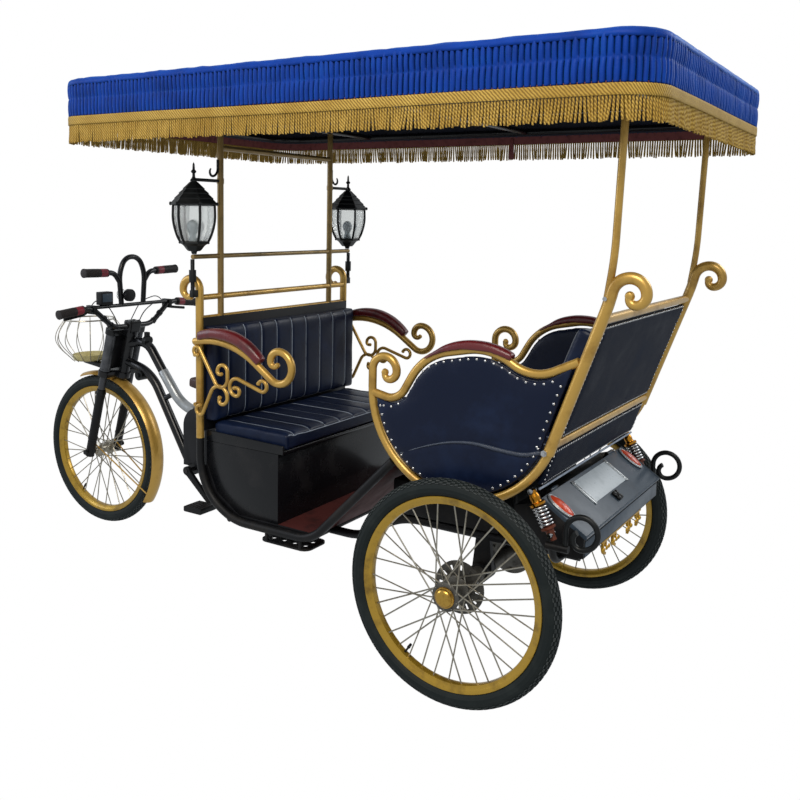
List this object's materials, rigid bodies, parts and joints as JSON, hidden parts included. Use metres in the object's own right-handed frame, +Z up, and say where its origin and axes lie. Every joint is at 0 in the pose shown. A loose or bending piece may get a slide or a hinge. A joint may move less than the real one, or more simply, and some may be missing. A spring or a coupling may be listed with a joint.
{
  "type": "electric sightseeing tricycle",
  "caption": "Passenger tricycle with a rider's saddle, a rear-facing bench, a trough seat, scroll ironwork, lanterns and a fringed canopy.",
  "frame": {"origin": "on the ground, in the middle of the overall box", "axes": "-X to the front, -Y to the vehicle's left, +Z up"},
  "size_m": [2.8979, 1.256, 1.866],
  "materials": {
    "tyre_rubber": "matt",
    "gold_paint": "satin",
    "gold_rim": "gloss",
    "black_paint": "gloss",
    "silver_sleeve": "brushed",
    "steel": "bright",
    "motor_shell": "cast",
    "navy_leather": "gloss",
    "burgundy_leather": "satin",
    "brown_leather": "satin",
    "brown_board": "matt",
    "black_plastic": "matt",
    "grip_rubber": "matt",
    "blue_satin": "satin",
    "gold_fringe": "matt",
    "lantern_glass": "clear",
    "slate_paint": "satin",
    "lamp_lens": "gloss",
    "white_plate": "gloss",
    "chrome": "polished"
  },
  "bodies": {
    "chassis": {"front_frame": "black_paint", "battery_case": "black_plastic", "frame_sleeve": "silver_sleeve", "saddle": "brown_leather", "saddle_post": "gold_paint", "chassis_frame": "black_paint", "rear_axle": "black_paint", "motor": "motor_shell", "floor_plate": "brown_board", "footboard": "brown_board", "steps": "black_paint", "bench_box": "black_paint", "bench_board": "black_paint", "bench_cushion": "navy_leather", "bench_backrest": "navy_leather", "bench_frame": "gold_paint", "bench_arms": "gold_paint", "bench_arm_pads": "burgundy_leather", "side_frames": "gold_paint", "back_rails": "gold_paint", "back_panels": "navy_leather", "side_panels": "navy_leather", "rear_arm_pads": "burgundy_leather", "seat_pan": "black_paint", "rear_cushion": "navy_leather", "rear_backrest": "navy_leather", "rear_posts": "gold_paint", "canopy_frame": "black_paint", "canopy": "blue_satin", "canopy_fringe": "gold_fringe", "lanterns": "black_paint", "lantern_brackets": "black_paint", "lantern_glass": "lantern_glass", "shocks": "chrome", "rear_box": "black_paint", "rear_scrolls": "black_paint", "box_trim": "gold_paint"},
    "steering": {"fork": "black_paint", "fork_lowers": "black_paint", "handlebar": "black_paint", "grips": "grip_rubber", "controls": "black_plastic", "front_fender": "gold_paint", "basket": "steel"},
    "front_wheel": {"front_tyre": "tyre_rubber", "front_rim": "gold_rim", "front_hub": "steel"},
    "rear_left_wheel": {"rear_left_tyre": "tyre_rubber", "rear_left_rim": "gold_rim", "rear_left_hub": "steel"},
    "rear_right_wheel": {"rear_right_tyre": "tyre_rubber", "rear_right_rim": "gold_rim", "rear_right_hub": "steel"},
    "cranks": {"crank_set": "black_paint"},
    "lid": {"rear_lid": "slate_paint", "rear_lamps": "lamp_lens", "number_plate": "white_plate", "latch": "black_paint"}
  },
  "joints": [
    {"name": "steer", "type": "hinge", "parent": "chassis", "child": "steering", "pos_m": [-0.98939, 0, 0.66874], "axis": [0.2656, 0, 0.9641], "range_deg": [-40, 40]},
    {"name": "front_wheel_spin", "type": "hinge", "parent": "steering", "child": "front_wheel", "pos_m": [-1.119, 0, 0.33], "axis": [0, 1, 0], "continuous": true},
    {"name": "rear_left_spin", "type": "hinge", "parent": "chassis", "child": "rear_left_wheel", "pos_m": [0.904, -0.506, 0.33], "axis": [0, 1, 0], "continuous": true},
    {"name": "rear_right_spin", "type": "hinge", "parent": "chassis", "child": "rear_right_wheel", "pos_m": [0.904, 0.506, 0.33], "axis": [0, 1, 0], "continuous": true},
    {"name": "crank_spin", "type": "hinge", "parent": "chassis", "child": "cranks", "pos_m": [-0.532, 0, 0.343], "axis": [0, 1, 0], "continuous": true},
    {"name": "lid_hinge", "type": "hinge", "parent": "chassis", "child": "lid", "pos_m": [1.0956, 0, 0.60378], "axis": [0, -1, 0], "range_deg": [0, 60]}
  ]
}
